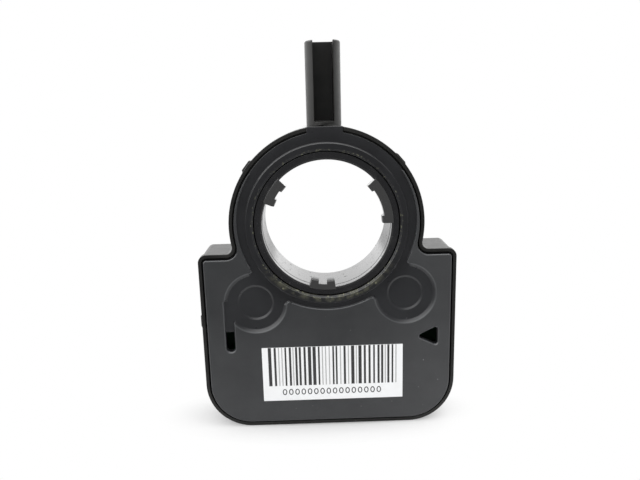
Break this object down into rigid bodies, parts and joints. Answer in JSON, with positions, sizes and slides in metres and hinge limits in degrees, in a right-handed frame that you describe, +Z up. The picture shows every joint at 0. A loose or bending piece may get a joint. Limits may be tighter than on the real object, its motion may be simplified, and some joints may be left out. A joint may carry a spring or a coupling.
{
  "type": "steering angle sensor",
  "caption": "Flat housing with a ring round a toothed rotor for a steering column, a slotted locating post on top and a plug socket behind.",
  "frame": {"origin": "on the axis of the column bore, half way through the housing's depth", "axes": "+X to the right seen from the labelled front, +Z up along the locating post, +Y along the bore axis from the front to the back"},
  "size_m": [0.0795, 0.0285, 0.1193],
  "materials": {
    "housing_plastic": "satin moulded black plastic",
    "cover_plastic": "fine matt moulded charcoal plastic",
    "rotor_plastic": "satin black plastic",
    "gear_plastic": "natural acetal",
    "magnet": "plain sintered magnet",
    "board": "green solder resist",
    "package": "matt black moulding",
    "can_metal": "plated can",
    "tantalum": "satin ochre moulding",
    "ceramic": "fired ceramic",
    "terminal_metal": "tin plated brass",
    "label": "matt white polyester film"
  },
  "bodies": {
    "housing": {"rear_housing": "housing_plastic", "front_cover": "cover_plastic", "circuit_board": "board", "angle_chip_left": "package", "angle_chip_right": "package", "microcontroller": "package", "bus_transceiver": "package", "voltage_regulator": "package", "crystal": "can_metal", "buffer_capacitor": "tantalum", "protection_diode": "package", "filter_capacitors": "ceramic", "chip_resistors": "package", "power_terminal": "terminal_metal", "ground_terminal": "terminal_metal", "bus_high_terminal": "terminal_metal", "bus_low_terminal": "terminal_metal", "barcode_label": "label"},
    "rotor": {"hub_gear": "rotor_plastic"},
    "left_gear": {"measuring_gear_left": "gear_plastic", "magnet_left": "magnet"},
    "right_gear": {"measuring_gear_right": "gear_plastic", "magnet_right": "magnet"}
  },
  "joints": [
    {"name": "rotor_turn", "type": "hinge", "parent": "housing", "child": "rotor", "pos_m": [0, 0, 0], "axis": [0, 1, 0], "continuous": true},
    {"name": "left_gear_turn", "type": "hinge", "parent": "housing", "child": "left_gear", "pos_m": [-0.02258, 0, -0.02379], "axis": [0, 1, 0], "continuous": true},
    {"name": "right_gear_turn", "type": "hinge", "parent": "housing", "child": "right_gear", "pos_m": [0.02373, 0, -0.02206], "axis": [0, 1, 0], "continuous": true}
  ],
  "couplings": [
    {"joint": "left_gear_turn", "follows": "rotor_turn", "ratio": -3.5556},
    {"joint": "right_gear_turn", "follows": "rotor_turn", "ratio": -3.7647}
  ]
}
